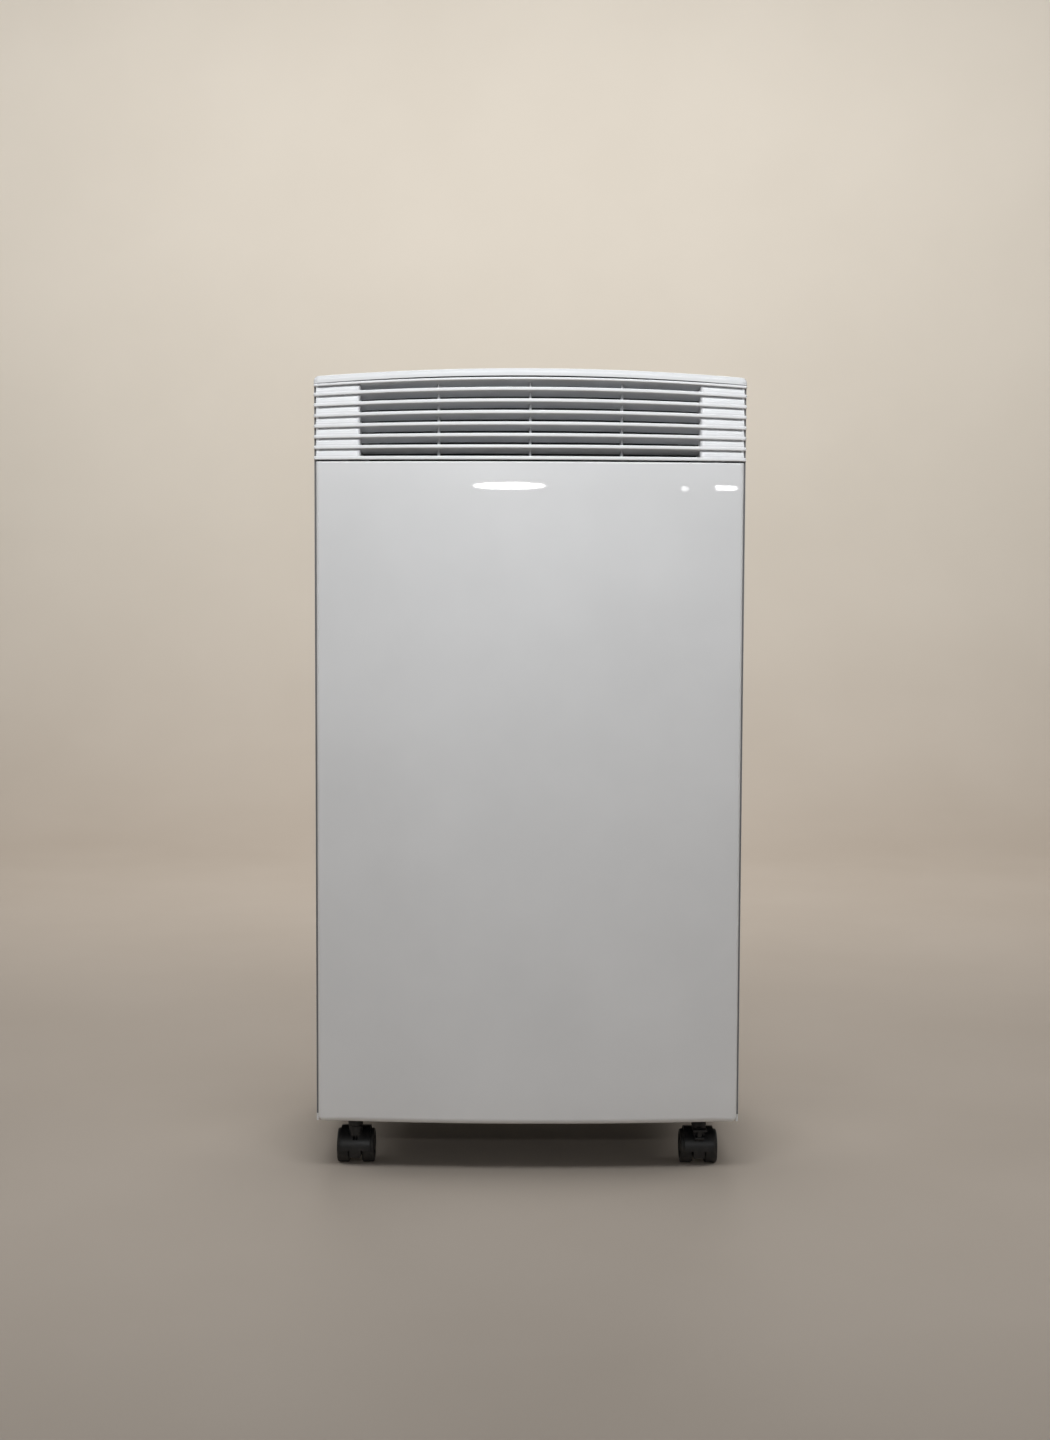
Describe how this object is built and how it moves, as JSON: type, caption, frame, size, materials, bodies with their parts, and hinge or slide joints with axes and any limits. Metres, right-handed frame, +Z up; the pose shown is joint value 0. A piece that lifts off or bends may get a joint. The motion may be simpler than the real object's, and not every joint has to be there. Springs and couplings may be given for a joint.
{
  "type": "portable air conditioner",
  "caption": "Upright floor-standing room cooler on four twin-wheel casters, with a bowed glossy front, a slatted top grille and a crowned lid.",
  "frame": {"origin": "on the floor under the middle of the cabinet", "axes": "+Z up; the bowed front faces -Y; +X is to the right of someone looking at the front"},
  "size_m": [0.45, 0.35, 0.85],
  "materials": {
    "shell_white": "glossy",
    "casing_white": "satin",
    "grille_white": "satin",
    "base_black": "fine texture",
    "caster_black": "satin",
    "wheel_black": "satin",
    "steel": "zinc plated",
    "fascia_grey": "glossy",
    "lens_smoke": "polished",
    "button_grey": "satin",
    "board_green": "solder mask",
    "filter_grey": "satin",
    "screen_dark": "woven",
    "seal_rubber": "matte",
    "compressor_black": "gloss enamel",
    "fin_aluminium": "bare",
    "copper": "drawn",
    "motor_steel": "galvanised",
    "fan_plastic": "satin",
    "duct_grey": "matte",
    "tray_white": "matte",
    "capacitor_can": "drawn"
  },
  "bodies": {
    "cabinet": {"accumulator": "compressor_black", "back_panel": "casing_white", "base_pan": "base_black", "cabinet_screws": "steel", "caster_stems": "steel", "compressor": "compressor_black", "compressor_bolts": "steel", "compressor_grommets": "seal_rubber", "condenser_coil": "fin_aluminium", "condenser_fan_housing": "duct_grey", "condenser_fan_motor": "motor_steel", "control_box": "casing_white", "control_fascia": "fascia_grey", "cord_gland": "caster_black", "discharge_duct": "duct_grey", "discharge_grille": "grille_white", "discharge_line": "copper", "display_board": "board_green", "display_lens": "lens_smoke", "drip_tray": "tray_white", "evaporator_coil": "fin_aluminium", "evaporator_fan_housing": "duct_grey", "evaporator_fan_motor": "motor_steel", "exhaust_collar": "casing_white", "front_panel": "shell_white", "left_handle_cup": "casing_white", "left_side_panel": "casing_white", "liquid_line": "copper", "right_handle_cup": "casing_white", "right_side_panel": "casing_white", "run_capacitor": "capacitor_can", "suction_line": "copper", "top_cover": "casing_white"},
    "caster_front_left": {"caster_hood_front_left": "caster_black", "caster_axle_front_left": "steel"},
    "wheel_front_left_outer": {"caster_wheel_front_left_outer": "wheel_black"},
    "wheel_front_left_inner": {"caster_wheel_front_left_inner": "wheel_black"},
    "caster_rear_left": {"caster_hood_rear_left": "caster_black", "caster_axle_rear_left": "steel"},
    "wheel_rear_left_outer": {"caster_wheel_rear_left_outer": "wheel_black"},
    "wheel_rear_left_inner": {"caster_wheel_rear_left_inner": "wheel_black"},
    "caster_front_right": {"caster_hood_front_right": "caster_black", "caster_axle_front_right": "steel"},
    "wheel_front_right_outer": {"caster_wheel_front_right_outer": "wheel_black"},
    "wheel_front_right_inner": {"caster_wheel_front_right_inner": "wheel_black"},
    "caster_rear_right": {"caster_hood_rear_right": "caster_black", "caster_axle_rear_right": "steel"},
    "wheel_rear_right_outer": {"caster_wheel_rear_right_outer": "wheel_black"},
    "wheel_rear_right_inner": {"caster_wheel_rear_right_inner": "wheel_black"},
    "brake_lever": {"caster_brake_lever": "caster_black"},
    "condenser_fan": {"condenser_fan_wheel": "fan_plastic"},
    "evaporator_fan": {"evaporator_fan_wheel": "fan_plastic"},
    "button_fan_speed": {"button_fan_speed": "button_grey"},
    "button_mode": {"button_mode": "button_grey"},
    "button_power": {"button_power": "button_grey"},
    "button_temp_down": {"button_temp_down": "button_grey"},
    "button_temp_up": {"button_temp_up": "button_grey"},
    "filter": {"filter_frame": "filter_grey", "filter_mesh": "screen_dark"},
    "drain_plug": {"drain_plug": "seal_rubber"}
  },
  "joints": [
    {"name": "caster_front_left_swivel", "type": "hinge", "parent": "cabinet", "child": "caster_front_left", "pos_m": [-0.186, -0.125, 0.044], "axis": [0, 0, 1], "continuous": true},
    {"name": "wheel_front_left_outer_spin", "type": "hinge", "parent": "caster_front_left", "child": "wheel_front_left_outer", "pos_m": [-0.186, -0.115, 0.018], "axis": [1, 0, 0], "continuous": true},
    {"name": "wheel_front_left_inner_spin", "type": "hinge", "parent": "caster_front_left", "child": "wheel_front_left_inner", "pos_m": [-0.186, -0.115, 0.018], "axis": [1, 0, 0], "continuous": true},
    {"name": "caster_rear_left_swivel", "type": "hinge", "parent": "cabinet", "child": "caster_rear_left", "pos_m": [-0.186, 0.125, 0.044], "axis": [0, 0, 1], "continuous": true},
    {"name": "wheel_rear_left_outer_spin", "type": "hinge", "parent": "caster_rear_left", "child": "wheel_rear_left_outer", "pos_m": [-0.186, 0.135, 0.018], "axis": [1, 0, 0], "continuous": true},
    {"name": "wheel_rear_left_inner_spin", "type": "hinge", "parent": "caster_rear_left", "child": "wheel_rear_left_inner", "pos_m": [-0.186, 0.135, 0.018], "axis": [1, 0, 0], "continuous": true},
    {"name": "caster_front_right_swivel", "type": "hinge", "parent": "cabinet", "child": "caster_front_right", "pos_m": [0.186, -0.125, 0.044], "axis": [0, 0, 1], "continuous": true},
    {"name": "wheel_front_right_outer_spin", "type": "hinge", "parent": "caster_front_right", "child": "wheel_front_right_outer", "pos_m": [0.186, -0.115, 0.018], "axis": [1, 0, 0], "continuous": true},
    {"name": "wheel_front_right_inner_spin", "type": "hinge", "parent": "caster_front_right", "child": "wheel_front_right_inner", "pos_m": [0.186, -0.115, 0.018], "axis": [1, 0, 0], "continuous": true},
    {"name": "caster_rear_right_swivel", "type": "hinge", "parent": "cabinet", "child": "caster_rear_right", "pos_m": [0.186, 0.125, 0.044], "axis": [0, 0, 1], "continuous": true},
    {"name": "wheel_rear_right_outer_spin", "type": "hinge", "parent": "caster_rear_right", "child": "wheel_rear_right_outer", "pos_m": [0.186, 0.135, 0.018], "axis": [1, 0, 0], "continuous": true},
    {"name": "wheel_rear_right_inner_spin", "type": "hinge", "parent": "caster_rear_right", "child": "wheel_rear_right_inner", "pos_m": [0.186, 0.135, 0.018], "axis": [1, 0, 0], "continuous": true},
    {"name": "brake_lever_press", "type": "hinge", "parent": "caster_front_right", "child": "brake_lever", "pos_m": [0.186, -0.137, 0.032], "axis": [1, 0, 0], "range_deg": [0, 20]},
    {"name": "condenser_fan_spin", "type": "hinge", "parent": "cabinet", "child": "condenser_fan", "pos_m": [-0.085, 0, 0.205], "axis": [0, 1, 0], "continuous": true},
    {"name": "evaporator_fan_spin", "type": "hinge", "parent": "cabinet", "child": "evaporator_fan", "pos_m": [0, 0, 0.64], "axis": [0, 1, 0], "continuous": true},
    {"name": "button_fan_speed_press", "type": "slide", "parent": "cabinet", "child": "button_fan_speed", "axis": [0, 0, -1], "range_m": [0, 0.0008], "stiffness_N_per_m": 400},
    {"name": "button_mode_press", "type": "slide", "parent": "cabinet", "child": "button_mode", "axis": [0, 0, -1], "range_m": [0, 0.0008], "stiffness_N_per_m": 400},
    {"name": "button_power_press", "type": "slide", "parent": "cabinet", "child": "button_power", "axis": [0, 0, -1], "range_m": [0, 0.0008], "stiffness_N_per_m": 400},
    {"name": "button_temp_down_press", "type": "slide", "parent": "cabinet", "child": "button_temp_down", "axis": [0, 0, -1], "range_m": [0, 0.0008], "stiffness_N_per_m": 400},
    {"name": "button_temp_up_press", "type": "slide", "parent": "cabinet", "child": "button_temp_up", "axis": [0, 0, -1], "range_m": [0, 0.0008], "stiffness_N_per_m": 400},
    {"name": "filter_slide", "type": "slide", "parent": "cabinet", "child": "filter", "axis": [1, 0, 0], "range_m": [0, 0.32]},
    {"name": "drain_plug_pull", "type": "slide", "parent": "cabinet", "child": "drain_plug", "axis": [0, 1, 0], "range_m": [0, 0.03]}
  ]
}
